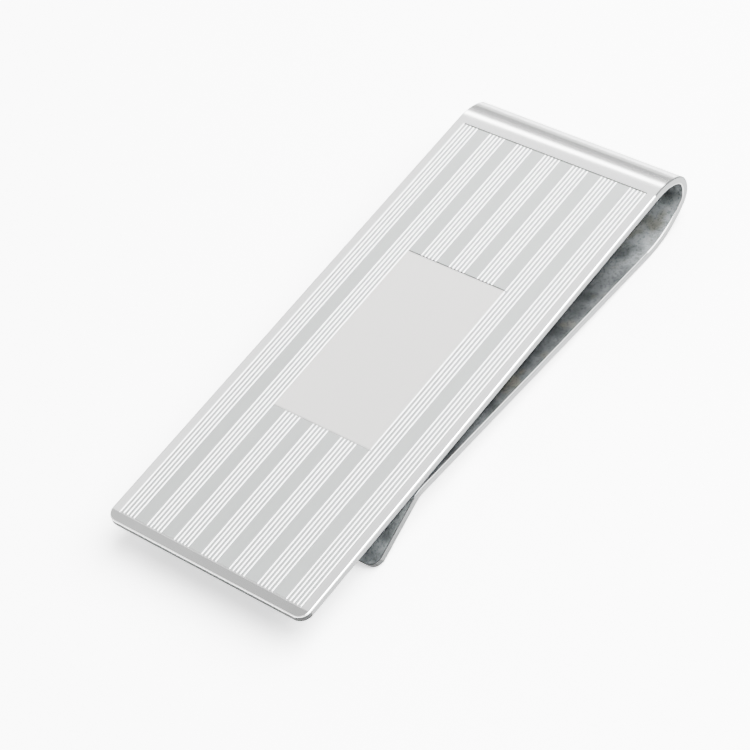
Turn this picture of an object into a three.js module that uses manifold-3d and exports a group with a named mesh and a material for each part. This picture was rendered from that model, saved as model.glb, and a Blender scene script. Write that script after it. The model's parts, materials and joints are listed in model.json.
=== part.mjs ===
// Spring money clip: one strip of polished metal, cut from sheet, engraved on its
// front and folded over a tear-shaped loop, so that a slim arm behind the front
// plate pinches folded notes against it.
//
// Units are millimetres, +Z is up. The clip lies as it does on a table: front plate
// up, the loop at +Y, the open end at -Y, resting on the loop and on the tip of the
// lift lip. The origin is on the table, under the middle of the clip.
//
// The strip is described from the open end of the front plate, along the plate,
// round the loop and back along the arm. Each section starts where the last one
// ends. In a section's own frame +Y runs along the strip, +X across it, and +Z
// points out of the face that was the front of the sheet.

import * as THREE from "three";
import { mergeVertices } from "three/addons/utils/BufferGeometryUtils.js";
import Module from "manifold-3d";

// ---- driving dimensions -------------------------------------------------------

const STRIP_WIDTH = 22.24;
const THICKNESS = 0.72;
const EDGE_ROUND = 0.1;
const EDGE_STEPS = 3;
const SPLIT_GAP = 0.3;

const PLATE_LENGTH = 51.05;
const PLATE_CORNER_RADIUS = 1.1;

// Loop: radius of the strip's middle surface and angle turned, in degrees.
const SHOULDER_RADIUS = 5.06;
const SHOULDER_SWEEP = 32.2;
const CROWN_RADIUS = 1.64;
const CROWN_SWEEP = 117.5;
const HEEL_RADIUS = 9.29;
const HEEL_SWEEP = 37;

const ARM_LENGTH = 32.42;
const PINCH_RADIUS = 2.2;
const PINCH_SWEEP = 26.6;
const LIP_LENGTH = 6.6;
const LIP_CORNER_RADIUS = 1.1;

// Lean of the front plate when the clip rests on its loop and its lip.
const REST_TILT = 2.19;

// Engraving: seven bands of five fine lines, with a blank panel in the middle.
const LINE_PITCH = 0.39;
const LINES_PER_BAND = 5;
const BAND_COUNT = 7;
const BAND_PITCH = 8 * LINE_PITCH;
const FIELD_WIDTH = 52 * LINE_PITCH;
const LINE_WIDTH = 0.15;
const LINE_DEPTH = 0.045;
const BORDER_WIDTH = 0.12;
const BORDER_DEPTH = 0.04;

// Distances of the engraved field and of the blank panel from the plate's open end.
const FIELD_START = 1.0;
const PANEL_START = 16.32;
const PANEL_END = 35.71;
const FIELD_END = 50.52;
const PANEL_HALF_WIDTH = 14 * LINE_PITCH;
const PANEL_BANDS = [2, 3, 4];

const rad = THREE.MathUtils.degToRad;

// ---- solids -------------------------------------------------------------------

const wasm = await Module();
wasm.setup();

function toSolid(geometry) {
  const bare = geometry.clone();
  bare.deleteAttribute("normal");
  bare.deleteAttribute("uv");
  const merged = mergeVertices(bare, 1e-5);
  return new wasm.Manifold(new wasm.Mesh({
    numProp: 3,
    vertProperties: new Float32Array(merged.attributes.position.array),
    triVerts: new Uint32Array(merged.index.array),
  }));
}

function toGeometry(solid) {
  const mesh = solid.getMesh();
  const geometry = new THREE.BufferGeometry();
  geometry.setAttribute("position", new THREE.BufferAttribute(mesh.vertProperties, 3));
  geometry.setIndex(new THREE.BufferAttribute(mesh.triVerts, 1));
  geometry.computeVertexNormals();
  return geometry;
}

function boxSolid(width, length, height, x, y, z) {
  return toSolid(new THREE.BoxGeometry(width, length, height).translate(x, y, z));
}

// Cross-section of the strip, with its four long edges rounded over.
function stripSection() {
  const x = STRIP_WIDTH / 2 - EDGE_ROUND;
  const y = THICKNESS / 2 - EDGE_ROUND;
  const corners = [[x, y], [-x, y], [-x, -y], [x, -y]];
  const points = corners.flatMap(([cx, cy], quarter) => {
    const start = quarter * Math.PI / 2;
    return new THREE.ArcCurve(cx, cy, EDGE_ROUND, start, start + Math.PI / 2).getPoints(EDGE_STEPS);
  });
  return new THREE.Shape(points);
}

// Middle line of a bend that starts at the section's origin and runs along +Y. A
// positive sweep curls away from the front face, a negative one towards it.
class BendLine extends THREE.Curve {
  constructor(radius, sweep) {
    super();
    this.radius = radius;
    this.side = Math.sign(sweep);
    this.margin = SPLIT_GAP / 2 / radius;
    this.turn = Math.abs(rad(sweep)) - 2 * this.margin;
  }

  getPoint(t, target = new THREE.Vector3()) {
    const angle = this.margin + t * this.turn;
    const rise = -this.side * this.radius * (1 - Math.cos(angle));
    return target.set(0, this.radius * Math.sin(angle), rise);
  }
}

function bentStrip(radius, sweep, steps) {
  const path = new BendLine(radius, sweep);
  return new THREE.ExtrudeGeometry(stripSection(), { steps, extrudePath: path });
}

// Flat stretch of strip from y = from to y = to. The corners at one end may be
// rounded; an end that runs on into the next section is cut square.
function flatStrip(from, to, { roundFrom = 0, roundTo = 0 }) {
  const half = STRIP_WIDTH / 2 - EDGE_ROUND;
  const start = from + (roundFrom ? EDGE_ROUND : -1);
  const end = to - (roundTo ? EDGE_ROUND : -1);
  const a = Math.max(roundFrom - EDGE_ROUND, 0);
  const b = Math.max(roundTo - EDGE_ROUND, 0);
  const outline = new THREE.Shape();
  outline.moveTo(-half + a, start);
  outline.lineTo(half - a, start);
  if (a) outline.absarc(half - a, start + a, a, -Math.PI / 2, 0);
  outline.lineTo(half, end - b);
  if (b) outline.absarc(half - b, end - b, b, 0, Math.PI / 2);
  outline.lineTo(-half + b, end);
  if (b) outline.absarc(-half + b, end - b, b, Math.PI / 2, Math.PI);
  outline.lineTo(-half, start + a);
  if (a) outline.absarc(-half + a, start + a, a, Math.PI, Math.PI * 1.5);
  const blank = new THREE.ExtrudeGeometry(outline, {
    depth: THICKNESS - 2 * EDGE_ROUND,
    bevelThickness: EDGE_ROUND,
    bevelSize: EDGE_ROUND,
    bevelSegments: EDGE_STEPS,
    curveSegments: 4,
  });
  blank.translate(0, 0, -THICKNESS / 2 + EDGE_ROUND);
  const trim = boxSolid(STRIP_WIDTH + 2, to - from, THICKNESS + 2, 0, (from + to) / 2, 0);
  return toSolid(blank).intersect(trim);
}

// ---- engraving ----------------------------------------------------------------

// V-shaped graver cut along the strip, at height z = 0 of its own frame.
function cutAlong(x, from, to, width, depth) {
  const above = 0.2;
  const flank = width / 2 * (1 + above / depth);
  const section = new THREE.Shape();
  section.moveTo(0, -depth);
  section.lineTo(flank, above);
  section.lineTo(-flank, above);
  section.closePath();
  const cut = new THREE.ExtrudeGeometry(section, { depth: to - from, bevelEnabled: false });
  cut.rotateX(Math.PI / 2);
  cut.translate(x, to, 0);
  return cut;
}

function cutAcross(y, halfWidth, width, depth) {
  return cutAlong(0, -halfWidth, halfWidth, width, depth).rotateZ(Math.PI / 2).translate(0, y, 0);
}

function engravingCuts() {
  const cuts = [];
  for (let band = 0; band < BAND_COUNT; band += 1) {
    for (let line = 0; line < LINES_PER_BAND; line += 1) {
      const x = band * BAND_PITCH + line * LINE_PITCH - FIELD_WIDTH / 2;
      if (PANEL_BANDS.includes(band)) {
        cuts.push(cutAlong(x, FIELD_START, PANEL_START, LINE_WIDTH, LINE_DEPTH));
        cuts.push(cutAlong(x, PANEL_END, FIELD_END, LINE_WIDTH, LINE_DEPTH));
      } else {
        cuts.push(cutAlong(x, FIELD_START, FIELD_END, LINE_WIDTH, LINE_DEPTH));
      }
    }
  }
  for (const y of [FIELD_START, FIELD_END]) {
    cuts.push(cutAcross(y, FIELD_WIDTH / 2 + LINE_WIDTH / 2, BORDER_WIDTH, BORDER_DEPTH));
  }
  for (const y of [PANEL_START, PANEL_END]) {
    cuts.push(cutAcross(y, PANEL_HALF_WIDTH, BORDER_WIDTH, BORDER_DEPTH));
  }
  return cuts.map((cut) => toSolid(cut.translate(0, 0, THICKNESS / 2)));
}

function frontPlate() {
  let plate = flatStrip(0, PLATE_LENGTH - SPLIT_GAP / 2, { roundFrom: PLATE_CORNER_RADIUS });
  for (const cut of engravingCuts()) {
    plate = plate.subtract(cut);
  }
  return toGeometry(plate);
}

// ---- the strip, section by section --------------------------------------------

const polished = { color: 0xdfe0df, roughness: 0.16, metalness: 1 };
const inside = { color: 0xc4c7c8, roughness: 0.3, metalness: 1 };

const clip = new THREE.Group();
const strip = new THREE.Group();
clip.add(strip);
let section = strip;

function addPiece(name, geometry, finish) {
  const piece = new THREE.Mesh(geometry, new THREE.MeshStandardMaterial(finish));
  piece.name = name;
  section.add(piece);
}

// The next section starts a given distance on, or at the end of a bend.
function goOn(distance) {
  const next = new THREE.Group();
  next.position.y = distance;
  section.add(next);
  section = next;
}

function goRound(radius, sweep) {
  const turn = rad(sweep);
  const next = new THREE.Group();
  next.position.set(0, radius * Math.sin(Math.abs(turn)), -Math.sign(sweep) * radius * (1 - Math.cos(turn)));
  next.rotation.x = -turn;
  section.add(next);
  section = next;
}

addPiece("front_plate", frontPlate(), polished);
goOn(PLATE_LENGTH);

addPiece("loop_shoulder", bentStrip(SHOULDER_RADIUS, SHOULDER_SWEEP, 8), polished);
goRound(SHOULDER_RADIUS, SHOULDER_SWEEP);

// The strip flexes about the middle of its crown, where these two halves meet.
addPiece("crown_front", bentStrip(CROWN_RADIUS, CROWN_SWEEP / 2, 10), polished);
goRound(CROWN_RADIUS, CROWN_SWEEP / 2);

addPiece("crown_back", bentStrip(CROWN_RADIUS, CROWN_SWEEP / 2, 10), polished);
goRound(CROWN_RADIUS, CROWN_SWEEP / 2);

addPiece("loop_heel", bentStrip(HEEL_RADIUS, HEEL_SWEEP, 10), inside);
goRound(HEEL_RADIUS, HEEL_SWEEP);

addPiece("spring_arm", toGeometry(flatStrip(SPLIT_GAP / 2, ARM_LENGTH - SPLIT_GAP / 2, {})), inside);
goOn(ARM_LENGTH);

addPiece("pinch_bend", bentStrip(PINCH_RADIUS, -PINCH_SWEEP, 8), inside);
goRound(PINCH_RADIUS, -PINCH_SWEEP);

addPiece("lift_lip", toGeometry(flatStrip(SPLIT_GAP / 2, LIP_LENGTH, { roundTo: LIP_CORNER_RADIUS })), inside);

// ---- set the clip down on the table, centred on the origin --------------------

strip.rotation.x = rad(REST_TILT);
clip.updateMatrixWorld(true);
const bounds = new THREE.Box3().setFromObject(clip, true);
strip.position.y = -(bounds.min.y + bounds.max.y) / 2;
strip.position.z = -bounds.min.z;

export default clip;
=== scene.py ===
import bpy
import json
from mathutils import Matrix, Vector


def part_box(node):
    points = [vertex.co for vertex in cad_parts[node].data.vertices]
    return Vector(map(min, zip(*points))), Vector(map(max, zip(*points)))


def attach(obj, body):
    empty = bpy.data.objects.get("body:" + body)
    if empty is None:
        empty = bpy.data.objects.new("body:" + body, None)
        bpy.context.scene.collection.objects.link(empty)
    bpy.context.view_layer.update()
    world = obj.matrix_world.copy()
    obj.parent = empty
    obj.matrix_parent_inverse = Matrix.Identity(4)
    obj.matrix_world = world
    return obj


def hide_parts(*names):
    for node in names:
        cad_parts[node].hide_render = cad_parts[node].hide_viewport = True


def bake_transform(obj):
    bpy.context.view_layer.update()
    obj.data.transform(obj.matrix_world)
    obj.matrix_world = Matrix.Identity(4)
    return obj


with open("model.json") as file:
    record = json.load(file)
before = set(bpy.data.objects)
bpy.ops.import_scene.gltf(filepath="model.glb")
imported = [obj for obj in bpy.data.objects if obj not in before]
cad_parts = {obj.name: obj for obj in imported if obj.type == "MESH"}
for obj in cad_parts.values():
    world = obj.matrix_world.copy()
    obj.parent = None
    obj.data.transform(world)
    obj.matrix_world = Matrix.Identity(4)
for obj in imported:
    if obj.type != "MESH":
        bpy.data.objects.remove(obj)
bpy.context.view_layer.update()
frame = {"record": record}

import json
import math

import bmesh
import bpy
from bpy.props import FloatProperty, FloatVectorProperty, IntProperty, PointerProperty
from bpy.types import Operator, Panel, PropertyGroup
from mathutils import Matrix, Vector

bl_info = {
    "name": "Spring Money Clip",
    "version": (1, 0, 0),
    "blender": (4, 5, 0),
    "location": "3D View > Sidebar > Money Clip",
    "description": "Builds an engraved spring money clip from one folded strip",
    "category": "Add Mesh",
}

MM = 0.001
MOUNTS = {mount["name"]: mount for mount in frame["record"]["mounts"]}
PLATE_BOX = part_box("front_plate")


def colour_prop(name, description, default):
    return FloatVectorProperty(
        name=name, description=description, subtype="COLOR", size=3, min=0, max=1, default=default
    )


def length_prop(name, description, default):
    return FloatProperty(
        name=name, description=description, subtype="DISTANCE", unit="LENGTH",
        min=0, precision=5, default=default * MM,
    )


def angle_prop(name, description, default):
    return FloatProperty(
        name=name, description=description, subtype="ANGLE", unit="ROTATION",
        default=math.radians(default),
    )


# ---- sizes and colours --------------------------------------------------------


class ClipStripSizes(PropertyGroup):
    """The strip that the clip is folded from"""

    width: FloatProperty(
        name="Strip Width", description="Width of the strip", subtype="DISTANCE", unit="LENGTH",
        min=0, precision=5, default=PLATE_BOX[1][0] - PLATE_BOX[0][0],
    )
    thickness: length_prop("Thickness", "Thickness of the metal", 0.72)
    rim: length_prop("Rim Rounding", "Radius polished onto the strip's edges", 0.1)
    plate_corner: length_prop("Plate Corner", "Corner radius at the plate's open end", 1.1)
    lip_corner: length_prop("Lip Corner", "Corner radius at the tip of the lift lip", 1.1)
    plate_length: length_prop("Plate Length", "Flat length of the front plate", 51.05)
    shoulder_radius: length_prop("Shoulder Radius", "First easy bend of the loop", 5.06)
    shoulder_sweep: angle_prop("Shoulder Sweep", "Turn of the first easy bend", 32.2)
    crown_radius: length_prop("Crown Radius", "Tight bend at the closed end", 1.64)
    crown_sweep: angle_prop("Crown Sweep", "Turn of the tight bend", 117.5)
    heel_radius: length_prop("Heel Radius", "Easy bend back towards the plate", 9.29)
    heel_sweep: angle_prop("Heel Sweep", "Turn of the last easy bend", 37.0)
    arm_length: length_prop("Arm Length", "Straight length of the arm", 32.42)
    pinch_radius: length_prop("Pinch Radius", "Reverse bend where the clip grips", 2.2)
    pinch_sweep: angle_prop("Pinch Sweep", "Turn of the reverse bend", 26.6)
    lip_length: length_prop("Lip Length", "Length of the flared lip", 6.6)


class ClipEngravingSizes(PropertyGroup):
    """The engraved stripes of the front"""

    line_pitch: length_prop("Line Pitch", "Spacing of the lines within a band", 0.39)
    line_width: length_prop("Line Width", "Width of one engraved line", 0.15)
    line_depth: length_prop("Line Depth", "Depth of one engraved line", 0.045)
    scribe_width: length_prop("Scribe Width", "Width of the lines that end the bands", 0.12)
    scribe_depth: length_prop("Scribe Depth", "Depth of the lines that end the bands", 0.04)
    bands: IntProperty(name="Bands", description="Number of bands of lines", min=1, default=7)
    lines: IntProperty(name="Lines", description="Lines in one band", min=1, default=5)
    field_start: length_prop("Field Start", "Open end of the bands, from the plate's open end", 1.0)
    panel_start: length_prop("Panel Start", "Open end of the blank panel", 16.32)
    panel_end: length_prop("Panel End", "Loop end of the blank panel", 35.71)
    field_end: length_prop("Field End", "Loop end of the bands", 50.52)


class ClipFinish(PropertyGroup):
    """Colours of the metal's finishes, of the shade painted onto it, and of the table"""

    polish: colour_prop("Polish", "Buffed rhodium plate", (0.83, 0.835, 0.83))
    panel: colour_prop("Panel", "Blank panel, warmer and hand buffed", (0.96, 0.945, 0.92))
    satin: colour_prop("Satin", "Brushed ground between the lines", (0.42, 0.44, 0.432))
    # Inner: the tumbled inside of the loop, darkened as painted shade of the hollow
    inner: colour_prop("Inner", "Hollow of the loop, tumbled and less buffed", (0.3, 0.32, 0.327))
    cut: colour_prop(
        "Cut", "Walls of the engraved lines, straight from the graver", (0.26, 0.26, 0.26)
    )
    side: colour_prop(
        "Side", "Long sides of the strip, linished after cutting", (0.1, 0.103, 0.103)
    )
    # Outer rim: near-black colour that paints shade onto the rims of the strip's outer side
    painted_rim_shade: colour_prop(
        "Outer Rim", "Rounded rim on the outer side, where polish collects", (0.03, 0.032, 0.032)
    )
    # Residue: near-black colour that paints shade onto the loop-end scribes and the cut ends of the
    # strip
    painted_cut_shade: colour_prop(
        "Residue", "Polish left in the scribed lines and on the cut ends", (0.016, 0.017, 0.017)
    )
    # Shaded: painted shade of the inner side behind the plate
    shaded: colour_prop(
        "Shaded", "Inner side behind the plate, duller still", (0.125, 0.133, 0.137)
    )
    stain: colour_prop("Stain", "Warm patches on the inner side", (0.17, 0.16, 0.12))
    table: colour_prop("Table", "Table that the clip lies on", (0.9, 0.9, 0.9))


# ---- shader maths -------------------------------------------------------------


class Wire:
    """One output socket, or a number, that Python arithmetic can be done on"""

    def __init__(self, paint, socket):
        self.paint = paint
        self.socket = socket

    def _math(self, operation, *values):
        return self.paint.node("ShaderNodeMath", {"operation": operation}, dict(enumerate(values)))

    def __add__(self, other):
        return self._math("ADD", self, other)

    def __radd__(self, other):
        return self._math("ADD", other, self)

    def __mul__(self, other):
        return self._math("MULTIPLY", self, other)

    def __rmul__(self, other):
        return self._math("MULTIPLY", other, self)


class Paint:
    """Node tree of a material or of the light tent, one method for every kind of node"""

    def __init__(self, block):
        self.block = block
        block.use_nodes = True
        self.tree = block.node_tree
        self.tree.nodes.clear()

    def node(self, kind, settings=None, inputs=None, output=0):
        made = self.tree.nodes.new(kind)
        for key, value in (settings or {}).items():
            if key == "ramp":
                self._stops(made.color_ramp, value)
            else:
                setattr(made, key, value)
        for key, value in (inputs or {}).items():
            if isinstance(value, Wire):
                self.tree.links.new(value.socket, made.inputs[key])
            else:
                made.inputs[key].default_value = value
        return Wire(self, made.outputs[output]) if made.outputs else made

    def _stops(self, ramp, stops):
        while len(ramp.elements) < len(stops):
            ramp.elements.new(1)
        for element, (place, shade) in zip(ramp.elements, stops):
            element.position = place
            element.color = (shade, shade, shade, 1) if isinstance(shade, float) else (*shade, 1)

    def place(self):
        return self.node("ShaderNodeTexCoord", output="Object")

    def place_along(self, axis):
        return self.node("ShaderNodeSeparateXYZ", None, {"Vector": self.place()}, output=axis)

    def ease(self, value, start, end):
        inputs = {"Value": value, "From Min": start, "From Max": end}
        return self.node("ShaderNodeMapRange", {"interpolation_type": "SMOOTHSTEP"}, inputs)

    def coordinates(self, scale=(1, 1, 1), rotation=(0, 0, 0)):
        inputs = {"Vector": self.place(), "Scale": scale, "Rotation": rotation}
        return self.node("ShaderNodeMapping", None, inputs)

    def noise(self, scale, detail=3, roughness=0.55, stretch=(1, 1, 1), rotation=(0, 0, 0)):
        inputs = {
            "Vector": self.coordinates(stretch, rotation), "Scale": scale,
            "Detail": detail, "Roughness": roughness,
        }
        return self.node("ShaderNodeTexNoise", None, inputs)

    def ramp(self, value, stops):
        return self.node("ShaderNodeValToRGB", {"ramp": stops}, {"Fac": value})

    def blend(self, amount, first, second):
        return self.node(
            "ShaderNodeMix", {"data_type": "RGBA"},
            {"Factor": amount, 6: colour4(first), 7: colour4(second)}, output=2,
        )

    def bump(self, height, distance, strength=1.0):
        inputs = {"Height": height, "Distance": distance, "Strength": strength}
        return self.node("ShaderNodeBump", None, inputs)

    def finish(self, **sockets):
        names = {
            "colour": "Base Color", "roughness": "Roughness", "metallic": "Metallic",
            "normal": "Normal", "specular": "Specular IOR Level",
            "glow": "Emission Color", "glow_strength": "Emission Strength",
        }
        inputs = {names[key]: value for key, value in sockets.items()}
        shader = self.node("ShaderNodeBsdfPrincipled", None, inputs)
        self.node("ShaderNodeOutputMaterial", None, {"Surface": shader})
        return self.block


def colour4(value):
    return value if isinstance(value, Wire) else (*value, 1)


# Along the clip: where the painted shade of the inner side behind the plate gives way to the
# lighter hollow of the loop and to the lip, and from where on the inner side is stained.
HOLLOW_REACH = (0.013, 0.024)
LIP_REACH = (-0.0085, -0.0125)
STAIN_REACH = (-0.012, 0.0)
CLOUD_SHADE = (0.07, 0.077, 0.08)
PIT_SHADE = (0.045, 0.05, 0.052)


def buffed_metal(name, tint, shade, roughness, lines, darkening=None):
    """Bright metal with the fine straight hairlines that a buffing wheel leaves; darkening is an
    axis, the places where the darkening starts and is complete, and what it leaves. On the plate's
    open-end border and the loop's outside it is painted shade."""
    paint = Paint(bpy.data.materials.new(name))
    hair = paint.noise(900, 2, 0.5, stretch=(6, 0.25, 6))
    haze = paint.noise(240, 3)
    wipe = paint.noise(1500, 2, stretch=(1, 0.12, 1), rotation=(0, 0, 0.5))
    dull = paint.ramp(haze, [(0.35, 0.0), (0.7, 1.0)])
    colour = paint.blend(dull * 0.6, tint, shade)
    if darkening:
        axis, start, full, left = darkening
        darken_mask = paint.ease(paint.place_along(axis), start, full)
        colour = paint.blend(darken_mask * (0.85 + 0.3 * haze), colour, [left * c for c in tint])
    return paint.finish(
        colour=colour,
        metallic=1.0,
        roughness=roughness + haze * 0.05 + wipe * 0.03,
        normal=paint.bump(hair, lines),
    )


def satin_metal(name, tint, shade):
    """Fine lengthwise brushing, between the engraved lines"""
    paint = Paint(bpy.data.materials.new(name))
    brush = paint.noise(1400, 3, 0.65, stretch=(9, 0.12, 9))
    cloud = paint.noise(160, 2)
    return paint.finish(
        colour=paint.blend(cloud, tint, shade),
        metallic=1.0,
        roughness=0.27 + brush * 0.1,
        normal=paint.bump(brush, 2.5e-7),
    )


def bright_cut(name, tint):
    """Walls of the engraved lines, cut bright by the graver"""
    paint = Paint(bpy.data.materials.new(name))
    chatter = paint.noise(2600, 2)
    return paint.finish(
        colour=paint.blend(chatter * 0.5, tint, [0.7 * c for c in tint]),
        metallic=1.0,
        roughness=0.14 + chatter * 0.1,
        normal=paint.bump(chatter, 2e-7),
    )


def painted_shade_metal(name, tint):
    """Near-black metal that paints shade onto cut ends, loop-end scribes and outer rims"""
    paint = Paint(bpy.data.materials.new(name))
    shade_mottle = paint.noise(1800, 3)
    return paint.finish(
        colour=paint.blend(shade_mottle, tint, [0.6 * c for c in tint]),
        metallic=0.0,
        roughness=0.45 + shade_mottle * 0.2,
        specular=0.1,
        normal=paint.bump(shade_mottle, 2e-6),
    )


def tumbled_metal(name, finish):
    """Inner side: pitted and clouded, with a few warm stains; its darkness is painted shade,
    darkest behind the plate and lighter towards the loop's hollow and the lip
    """
    paint = Paint(bpy.data.materials.new(name))
    cloud = paint.noise(620, 4, 0.6)
    patch = paint.noise(330, 2)
    grit = paint.noise(3600, 3, 0.75)
    along = paint.place_along("Y")
    # Painted light: lifts the painted shade of the inner side in the loop's hollow and at the lip
    bright = paint.ease(along, *HOLLOW_REACH) + paint.ease(along, *LIP_REACH) * 0.7
    tint = paint.blend(bright, finish.shaded, finish.inner)
    clouded = paint.blend(paint.ramp(cloud, [(0.38, 0.6), (0.62, 0.0)]), tint, CLOUD_SHADE)
    stained = paint.ramp(patch, [(0.56, 0.0), (0.68, 0.5)]) * paint.ease(along, *STAIN_REACH)
    pitted = paint.ramp(grit, [(0.38, 0.5), (0.5, 0.0)])
    return paint.finish(
        colour=paint.blend(pitted, paint.blend(stained, clouded, finish.stain), PIT_SHADE),
        metallic=1.0,
        roughness=0.36 + cloud * 0.26,
        normal=paint.bump(cloud + grit * 0.3, 1.5e-5),
    )


# ---- bmesh work ---------------------------------------------------------------

X_AXIS = Vector((1, 0, 0))


def plate_frame(sizes, engraving):
    """From the plate's own millimetres, y from its open end, to the row frame"""
    mount = MOUNTS["engraving_panel"]
    up = Vector(mount["axis"]).normalized()
    along = up.cross(X_AXIS).normalized()
    middle = (engraving.panel_start + engraving.panel_end) / 2
    origin = Vector(mount["pos_m"]) - along * middle - up * (sizes.thickness / 2)
    turn = Matrix((X_AXIS, along, up)).transposed().to_4x4()
    return Matrix.Translation(origin) @ turn @ Matrix.Scale(MM, 4)


def start_strip(bm, sizes, place):
    """Square-edged cross-section of the strip: its first cap, and the ring to carry on"""
    stand = Matrix.Rotation(math.pi / 2, 4, "X")
    size = Matrix.Diagonal((sizes.width / MM, sizes.thickness / MM, 1, 1))
    made = bmesh.ops.create_grid(
        bm, x_segments=1, y_segments=1, size=0.5, matrix=place @ stand @ size
    )
    cap = made["verts"][0].link_faces[0]
    return cap, list(cap.edges)


def edges_of(geom):
    return [e for e in geom if isinstance(e, bmesh.types.BMEdge)]


def run_on(bm, ring, place, length):
    made = bmesh.ops.extrude_edge_only(bm, edges=ring)
    verts = [v for v in made["geom"] if isinstance(v, bmesh.types.BMVert)]
    bmesh.ops.translate(bm, verts=verts, vec=place.to_3x3() @ Vector((0, length, 0)))
    return edges_of(made["geom"]), place @ Matrix.Translation((0, length, 0))


def turned(place, radius, sweep):
    """A positive sweep curls away from the front face, a negative one towards it"""
    reach = Vector((0, 0, -radius if sweep > 0 else radius))
    swing = Matrix.Translation(reach) @ Matrix.Rotation(-sweep, 4, "X") @ Matrix.Translation(-reach)
    return place @ reach, place @ swing


def bend_round(bm, ring, place, radius, sweep, steps):
    centre, after = turned(place, radius, sweep)
    made = bmesh.ops.spin(
        bm, geom=ring, cent=centre, axis=place.to_3x3() @ X_AXIS,
        angle=-sweep, steps=steps, use_duplicate=False,
    )
    return edges_of(made["geom_last"]), after


def close_strip(bm, ring):
    return bmesh.ops.contextual_create(bm, geom=ring)["faces"][0]


def bevel_edges(bm, edges, offset, segments):
    bmesh.ops.bevel(
        bm, geom=edges, offset=offset, segments=segments, profile=0.5, affect="EDGES", material=-1
    )


def round_corners(bm, cap, radius):
    """Plan corners of a free end: the two short edges of its cap"""
    edges = sorted(cap.edges, key=lambda e: e.calc_length())[:2]
    bevel_edges(bm, edges, radius, 10)


def round_rims(bm, radius, seams):
    """Every outer edge of the strip but those of the caps that meet another piece"""
    held = {e for cap in seams for e in cap.edges}
    rims = [e for e in bm.edges if e not in held and e.calc_face_angle(0) > RIM_ANGLE]
    bevel_edges(bm, rims, radius, 5)


CRISP_ANGLE = 0.7
RIM_ANGLE = 0.9


def set_finishes(bm, pick, flat=()):
    """Material of each face; a change of finish is also a crisp line in the shading"""
    for face in bm.faces:
        face.material_index = pick(face)
        face.smooth = face.material_index not in flat
    for edge in bm.edges:
        kinds = {face.material_index for face in edge.link_faces}
        edge.smooth = len(kinds) < 2 and edge.calc_face_angle(0) < CRISP_ANGLE


def make_piece(bm, name, place, materials):
    bmesh.ops.remove_doubles(bm, verts=bm.verts, dist=1e-5)
    bmesh.ops.recalc_face_normals(bm, faces=bm.faces)
    loose = [e for e in bm.edges if len(e.link_faces) != 2]
    if loose:
        raise RuntimeError(f"{name} has {len(loose)} open edges")
    bm.transform(place)
    mesh = bpy.data.meshes.new(name)
    bm.to_mesh(mesh)
    bm.free()
    for material in materials:
        mesh.materials.append(material)
    piece = bpy.data.objects.new(name, mesh)
    bpy.context.collection.objects.link(piece)
    return piece


# ---- engraving ----------------------------------------------------------------


# In line pitches: from one band to the next, and from the middle to the panel's side.
BAND_STEP = 8
PANEL_REACH = 14

# How close a corner has to be to the middle of a line to be sunk with it, in mm.
ON_LINE = 1e-4


class Engraving:
    """Where the lines lie on the plate, in its own millimetres"""

    def __init__(self, settings):
        self.pitch = settings.line_pitch / MM
        self.width = settings.line_width / MM
        self.depth = settings.line_depth / MM
        self.scribe_width = settings.scribe_width / MM
        self.scribe_depth = settings.scribe_depth / MM
        self.field = (settings.field_start / MM, settings.field_end / MM)
        self.panel = (settings.panel_start / MM, settings.panel_end / MM)
        last_line = (settings.bands - 1) * BAND_STEP + settings.lines - 1
        self.span = last_line * self.pitch / 2
        self.panel_half = PANEL_REACH * self.pitch
        self.lines = [
            (band * BAND_STEP + line) * self.pitch - self.span
            for band in range(settings.bands)
            for line in range(settings.lines)
        ]

    def on_panel(self, x, y, margin=0.0):
        inside = self.panel[0] + margin < y < self.panel[1] - margin
        return inside and abs(x) < self.panel_half - self.pitch / 2

    def in_field(self, x, y):
        reach = self.scribe_width / 2
        inside = self.field[0] - reach < y < self.field[1] + reach
        return inside and abs(x) < self.span + self.width / 2

    def nearest_line(self, x):
        return min(abs(x - line) for line in self.lines)

    def nearest_scribe(self, x, y):
        rows = [abs(y - end) for end in self.field]
        if abs(x) < self.panel_half:
            rows += [abs(y - end) for end in self.panel]
        return min(rows)

    def cut_finish(self, x, y):
        """2 an engraved line, 7 a scribe at a loop end, painted dark as shade, 8 a scribe at an
        open end, kept bright as the lit copy
        """
        if self.nearest_scribe(x, y) > self.scribe_width / 2:
            return 2
        at_field_end = abs(y - self.field[1]) < self.scribe_width
        at_panel_end = abs(y - self.panel[1]) < self.scribe_width
        return 7 if at_field_end or at_panel_end else 8

    def depth_at(self, x, y):
        cut = 0.0
        in_rows = self.field[0] <= y <= self.field[1]
        if in_rows and not self.on_panel(x, y) and self.nearest_line(x) < ON_LINE:
            cut = self.depth
        if self.nearest_scribe(x, y) < ON_LINE:
            cut = max(cut, self.scribe_depth)
        return cut


def is_top(face):
    return face.normal.z > 0.999


def slice_faces(bm, faces, axis, offsets):
    for offset in offsets:
        near = [f for f in bm.faces if faces(f)]
        geom = list({e for f in near for e in (*f.edges, *f.verts)}) + near
        bmesh.ops.bisect_plane(bm, geom=geom, dist=1e-6, plane_co=axis * offset, plane_no=axis)


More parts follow.
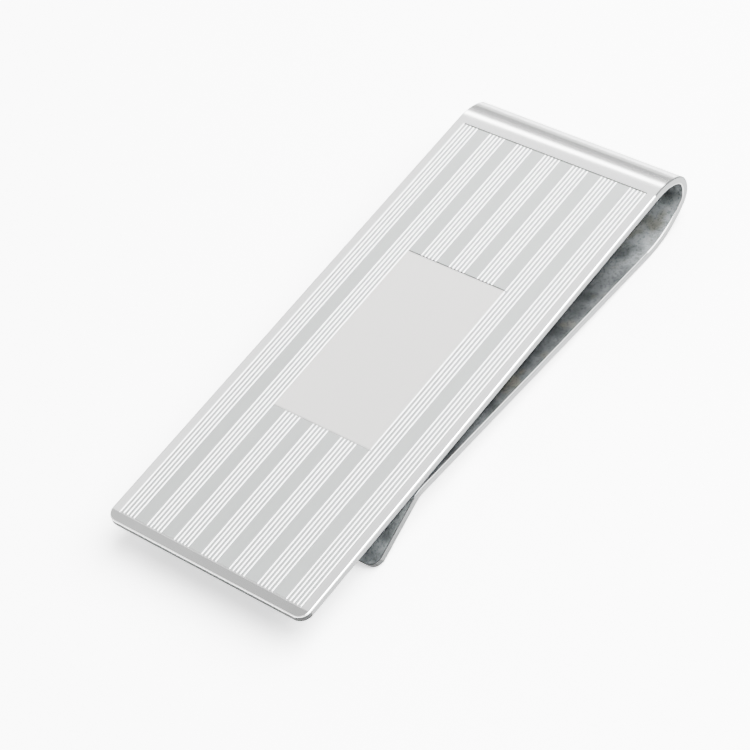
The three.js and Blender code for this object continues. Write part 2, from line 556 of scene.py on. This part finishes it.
def engrave(bm, plan):
    """Cuts the field's outline, the columns and rows of the lines, and sinks them"""
    half, reach = plan.width / 2, plan.scribe_width / 2
    y_axis = Vector((0, 1, 0))
    bm.normal_update()
    slice_faces(bm, is_top, y_axis, [plan.field[0] - reach])
    slice_faces(bm, is_top, X_AXIS, [-plan.span - half, plan.span + half])

    def inside(face):
        centre = face.calc_center_median()
        return is_top(face) and plan.in_field(centre.x, centre.y)

    rows = [plan.field[0], plan.field[0] + reach, plan.field[1] - reach, plan.field[1]]
    rows += [end + side * reach for end in plan.panel for side in (-1, 0, 1)]
    slice_faces(bm, inside, y_axis, rows)
    slice_faces(bm, inside, X_AXIS, [x + side * half for x in plan.lines for side in (-1, 0, 1)])
    for face in [f for f in bm.faces if inside(f)]:
        for vert in face.verts:
            vert.tag = True
    for vert in [v for v in bm.verts if v.tag]:
        vert.co.z -= plan.depth_at(vert.co.x, vert.co.y)
        vert.tag = False


# ---- operators ----------------------------------------------------------------


class CLIP_OT_front_plate(Operator):
    """Flat engraved front of the clip"""

    bl_idname = "money_clip.front_plate"
    bl_label = "Front Plate"

    def execute(self, context):
        sizes, finish = context.scene.clip_strip, context.scene.clip_finish
        plan = Engraving(context.scene.clip_engraving)
        length = plan.field[1] + plan.scribe_width / 2
        bm = bmesh.new()
        free_end, ring = start_strip(bm, sizes, Matrix.Identity(4))
        ring, _ = run_on(bm, ring, Matrix.Identity(4), length)
        seam = close_strip(bm, ring)
        round_corners(bm, free_end, sizes.plate_corner / MM)
        round_rims(bm, sizes.rim / MM, [seam])
        bmesh.ops.recalc_face_normals(bm, faces=bm.faces)
        engrave(bm, plan)
        bm.normal_update()
        top = sizes.thickness / MM / 2
        left = (sizes.rim - sizes.width / 2) / MM

        def pick(face):
            centre = face.calc_center_median()
            if face.normal.z < 0.5 or centre.z < top - plan.depth:
                return plate_side(face, centre)
            if not plan.in_field(centre.x, centre.y):
                if is_top(face):
                    return 0
                # Rims on the left side take the dark rim finish, those on the right stay polished:
                # painted shade on one side
                return 10 if centre.x < left else 3
            if not is_top(face):
                return plan.cut_finish(centre.x, centre.y)
            return 5 if plan.on_panel(centre.x, centre.y) else 1

        def plate_side(face, centre):
            if face.normal.z < -0.999:
                return 4
            if face.normal.z > 0.1:
                # Rims on the left side take the dark rim finish, those on the right stay polished:
                # painted shade on one side
                return 10 if centre.x < left else 3
            # The open end's face takes a near-black finish: painted shade
            if centre.y < sizes.plate_corner / MM:
                return 6
            # Lower rims take the dark rim finish: painted shade
            return 10 if face.normal.z < -0.1 else 9

        set_finishes(bm, pick, flat=(0, 1, 2, 4, 5, 7, 8))
        place = plate_frame(sizes, context.scene.clip_engraving)
        shade = [0.93 * c for c in finish.polish]
        open_end = PLATE_BOX[0][1]
        # Darkening of the border towards the open end, down to 0.42 of its tint: painted shade
        darkening = (1, open_end + 1.05 * MM, open_end + 0.85 * MM, 0.42)
        # The plate's sides darken towards the open end: axis, start, end and what is left
        tip_darkening = (1, open_end + 1.6 * MM, open_end + 0.3 * MM, 0.3)
        piece = make_piece(bm, "engraved_plate", place, [
            buffed_metal("plate_border", finish.polish, shade, 0.12, 1e-7, darkening),
            satin_metal("satin_bands", finish.satin, [0.95 * c for c in finish.satin]),
            bright_cut("engraved_lines", finish.cut),
            buffed_metal("plate_rim", finish.polish, shade, 0.1, 0.0),
            tumbled_metal("plate_underside", finish),
            buffed_metal("blank_panel", finish.panel, [0.97 * c for c in finish.panel], 0.16, 1e-7),
            painted_shade_metal("painted_shade_end", finish.painted_cut_shade),
            painted_shade_metal("painted_shade_scribes", finish.painted_cut_shade),
            bright_cut("open_end_scribes", finish.polish),
            *side_finishes("plate", finish, tip_darkening),
        ])
        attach(piece, "plate")
        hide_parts("front_plate")
        return {"FINISHED"}


# The arm's sides darken towards the tip: axis, start, end and what is left.
TIP_DARKENING = (1, -0.0105, -0.015, 0.45)


def strip_finish(face, hollow):
    """0 outside, 1 inner rim, 2 face towards the notes, 3 long side, 4 outer rim, which takes
    painted shade
    """
    if abs(face.normal.x) > 0.99:
        return 3
    if abs(face.normal.x) > 0.02:
        return 1 if hollow(face) else 4
    return 2 if hollow(face) else 0


def side_finishes(name, finish, darkening=None):
    """The long sides of the strip, and the rounded rim along their outer edge in a near-black
    painted shade
    """
    side = finish.side
    return [
        buffed_metal(f"{name}_side", side, [0.9 * c for c in side], 0.2, 1e-7, darkening),
        painted_shade_metal(f"{name}_painted_rim_shade", finish.painted_rim_shade),
    ]


def loop_bends(sizes):
    """Radius in millimetres and sweep of each bend of the loop, from the plate on"""
    return (
        (sizes.shoulder_radius / MM, sizes.shoulder_sweep),
        (sizes.crown_radius / MM, sizes.crown_sweep),
        (sizes.heel_radius / MM, sizes.heel_sweep),
    )


class CLIP_OT_spring_loop(Operator):
    """Tear-shaped loop that joins the plate to the arm and springs"""

    bl_idname = "money_clip.spring_loop"
    bl_label = "Spring Loop"

    def execute(self, context):
        sizes, finish = context.scene.clip_strip, context.scene.clip_finish
        plan = Engraving(context.scene.clip_engraving)
        begin = plan.field[1] + plan.scribe_width / 2
        bm = bmesh.new()
        place = Matrix.Translation((0, begin, 0))
        first, ring = start_strip(bm, sizes, place)
        ring, place = run_on(bm, ring, place, sizes.plate_length / MM - begin)
        for (radius, sweep), steps in zip(loop_bends(sizes), (20, 56, 24)):
            ring, place = bend_round(bm, ring, place, radius, sweep, steps)
        cap = close_strip(bm, ring)
        round_rims(bm, sizes.rim / MM, [first, cap])
        bmesh.ops.recalc_face_normals(bm, faces=bm.faces)
        # A point in the hollow, level with the start of the loop.
        eye = Vector((0, sizes.plate_length / MM, -sizes.heel_radius / MM / 4))

        def hollow(face):
            spot = face.calc_center_median()
            return face.normal.dot(eye - Vector((0, spot.y, spot.z))) > 0

        set_finishes(bm, lambda face: strip_finish(face, hollow))
        shade = [0.93 * c for c in finish.polish]
        crest = PLATE_BOX[1][2]
        # Darkening of the loop's outside below its crest: painted shade
        darkening = (2, crest - 0.4 * MM, crest - 0.85 * MM, 0.2)
        piece = make_piece(bm, "spring_loop", plate_frame(sizes, context.scene.clip_engraving), [
            buffed_metal("loop_outside", finish.polish, shade, 0.12, 1e-7, darkening),
            buffed_metal("loop_rim", [0.45 * c for c in shade], finish.side, 0.12, 0.0),
            tumbled_metal("loop_hollow", finish),
            *side_finishes("loop", finish),
        ])
        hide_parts("loop_shoulder", "crown_front", "crown_back", "loop_heel")
        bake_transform(piece)
        return {"FINISHED"}


class CLIP_OT_pinch_arm(Operator):
    """Straight arm behind the plate, its pinch bend and lift lip"""

    bl_idname = "money_clip.pinch_arm"
    bl_label = "Pinch Arm"

    def execute(self, context):
        sizes, finish = context.scene.clip_strip, context.scene.clip_finish
        bm = bmesh.new()
        place = Matrix.Translation((0, sizes.plate_length / MM, 0))
        for radius, sweep in loop_bends(sizes):
            place = turned(place, radius, sweep)[1]
        seam, ring = start_strip(bm, sizes, place)
        ring, place = run_on(bm, ring, place, sizes.arm_length / MM)
        ring, place = bend_round(bm, ring, place, sizes.pinch_radius / MM, -sizes.pinch_sweep, 14)
        ring, place = run_on(bm, ring, place, sizes.lip_length / MM)
        cap = close_strip(bm, ring)
        round_corners(bm, cap, sizes.lip_corner / MM)
        round_rims(bm, sizes.rim / MM, [seam])
        bmesh.ops.recalc_face_normals(bm, faces=bm.faces)

        def pick(face):
            # The lip's end face takes a near-black finish: painted shade
            if face.normal.y < -0.6:
                return 5
            return strip_finish(face, lambda f: f.normal.z > 0.1)

        set_finishes(bm, pick)
        shade = [0.93 * c for c in finish.polish]
        piece = make_piece(bm, "pinch_arm", plate_frame(sizes, context.scene.clip_engraving), [
            buffed_metal("arm_back", finish.polish, shade, 0.14, 1e-7),
            buffed_metal("arm_rim", finish.side, finish.side, 0.14, 0.0),
            tumbled_metal("arm_inside", finish),
            *side_finishes("arm", finish, TIP_DARKENING),
            painted_shade_metal("painted_shade_tip", finish.painted_cut_shade),
        ])
        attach(piece, "arm")
        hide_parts("spring_arm", "pinch_bend", "lift_lip")
        return {"FINISHED"}


TABLE_SIZE = 3.0
TABLE_GLOW = 1.2
TENT_STRENGTH = 2.6

# Brightness of the tent by the sine of the height above the horizon.
TENT_GLOW = [
    (0.0, 1.0), (0.08, 0.8), (0.15, 0.5), (0.21, 0.22), (0.26, 0.26), (0.33, 0.4),
    (0.6, 0.4), (0.67, 1.0), (0.765, 1.0), (0.8, 0.6), (0.87, 0.45),
]


class CLIP_OT_studio(Operator):
    """Pale table, soft light and the camera"""

    bl_idname = "money_clip.studio"
    bl_label = "Studio"

    def execute(self, context):
        self.table(context)
        self.sky(context)
        self.lamp("strip_softbox", (-0.347, 0.415, 0.35), (0.6, 0.075), 2.2)
        self.lamp("overhead_softbox", (0.25, 0.26, 0.52), (0.7, 0.7), 62.0)
        self.camera(context)
        return {"FINISHED"}

    def table(self, context):
        bm = bmesh.new()
        bmesh.ops.create_grid(bm, x_segments=1, y_segments=1, size=TABLE_SIZE)
        mesh = bpy.data.meshes.new("table_top")
        bm.to_mesh(mesh)
        bm.free()
        paint = Paint(bpy.data.materials.new("table_top"))
        grain = paint.noise(60, 2)
        tint = context.scene.clip_finish.table
        mesh.materials.append(paint.finish(
            colour=paint.blend(grain * 0.2, tint, [0.97 * c for c in tint]),
            metallic=0.0, roughness=0.8, glow=(*tint, 1), glow_strength=TABLE_GLOW,
        ))
        table = bpy.data.objects.new("table_top", mesh)
        context.collection.objects.link(table)

    def sky(self, context):
        """Light tent: dim at the horizon, brightest a little below half height"""
        paint = Paint(bpy.data.worlds.new("light_tent"))
        height = paint.place_along("Z")
        glow = paint.ramp(height, TENT_GLOW)
        inputs = {"Color": glow, "Strength": TENT_STRENGTH}
        background = paint.node("ShaderNodeBackground", None, inputs)
        paint.node("ShaderNodeOutputWorld", None, {"Surface": background})
        context.scene.world = paint.block

    def lamp(self, name, place, size, power):
        light = bpy.data.lights.new(name, "AREA")
        light.shape = "RECTANGLE"
        light.size, light.size_y = size
        light.energy = power
        lamp = bpy.data.objects.new(name, light)
        lamp.location = place
        lamp.rotation_euler = (-Vector(place)).to_track_quat("-Z", "Y").to_euler()
        bpy.context.collection.objects.link(lamp)

    def camera(self, context):
        lens = bpy.data.cameras.new("studio_camera")
        lens.lens = 130.66
        camera = bpy.data.objects.new("studio_camera", lens)
        right = Vector((0.76428, 0.60748, -0.21646)).normalized()
        up = Vector((-0.35039, 0.67295, 0.65143))
        back = right.cross(up).normalized()
        up = back.cross(right)
        camera.matrix_world = (
            Matrix.Translation((0.12643, -0.10251, 0.17343))
            @ Matrix((right, up, back)).transposed().to_4x4()
        )
        context.collection.objects.link(camera)
        context.scene.camera = camera


# ---- panel and registration ---------------------------------------------------

OPERATORS = (CLIP_OT_front_plate, CLIP_OT_spring_loop, CLIP_OT_pinch_arm, CLIP_OT_studio)


class CLIP_PT_builder(Panel):
    """Builds the money clip piece by piece"""

    bl_idname = "CLIP_PT_builder"
    bl_label = "Money Clip"
    bl_space_type = "VIEW_3D"
    bl_region_type = "UI"
    bl_category = "Money Clip"

    def draw(self, context):
        for operator in OPERATORS:
            self.layout.operator(operator.bl_idname)
        scene = context.scene
        for settings in (scene.clip_strip, scene.clip_engraving, scene.clip_finish):
            box = self.layout.box()
            for name in settings.bl_rna.properties.keys():
                if name not in {"rna_type", "name"}:
                    box.prop(settings, name)


GROUPS = (ClipStripSizes, ClipEngravingSizes, ClipFinish)


def register():
    for cls in (*GROUPS, *OPERATORS, CLIP_PT_builder):
        bpy.utils.register_class(cls)
    bpy.types.Scene.clip_strip = PointerProperty(type=ClipStripSizes)
    bpy.types.Scene.clip_engraving = PointerProperty(type=ClipEngravingSizes)
    bpy.types.Scene.clip_finish = PointerProperty(type=ClipFinish)


def unregister():
    del bpy.types.Scene.clip_finish
    del bpy.types.Scene.clip_engraving
    del bpy.types.Scene.clip_strip
    for cls in reversed((*GROUPS, *OPERATORS, CLIP_PT_builder)):
        bpy.utils.unregister_class(cls)


def main():
    register()
    bpy.ops.money_clip.front_plate()
    bpy.ops.money_clip.spring_loop()
    bpy.ops.money_clip.pinch_arm()
    bpy.ops.money_clip.studio()


if __name__ == "__main__":
    main()
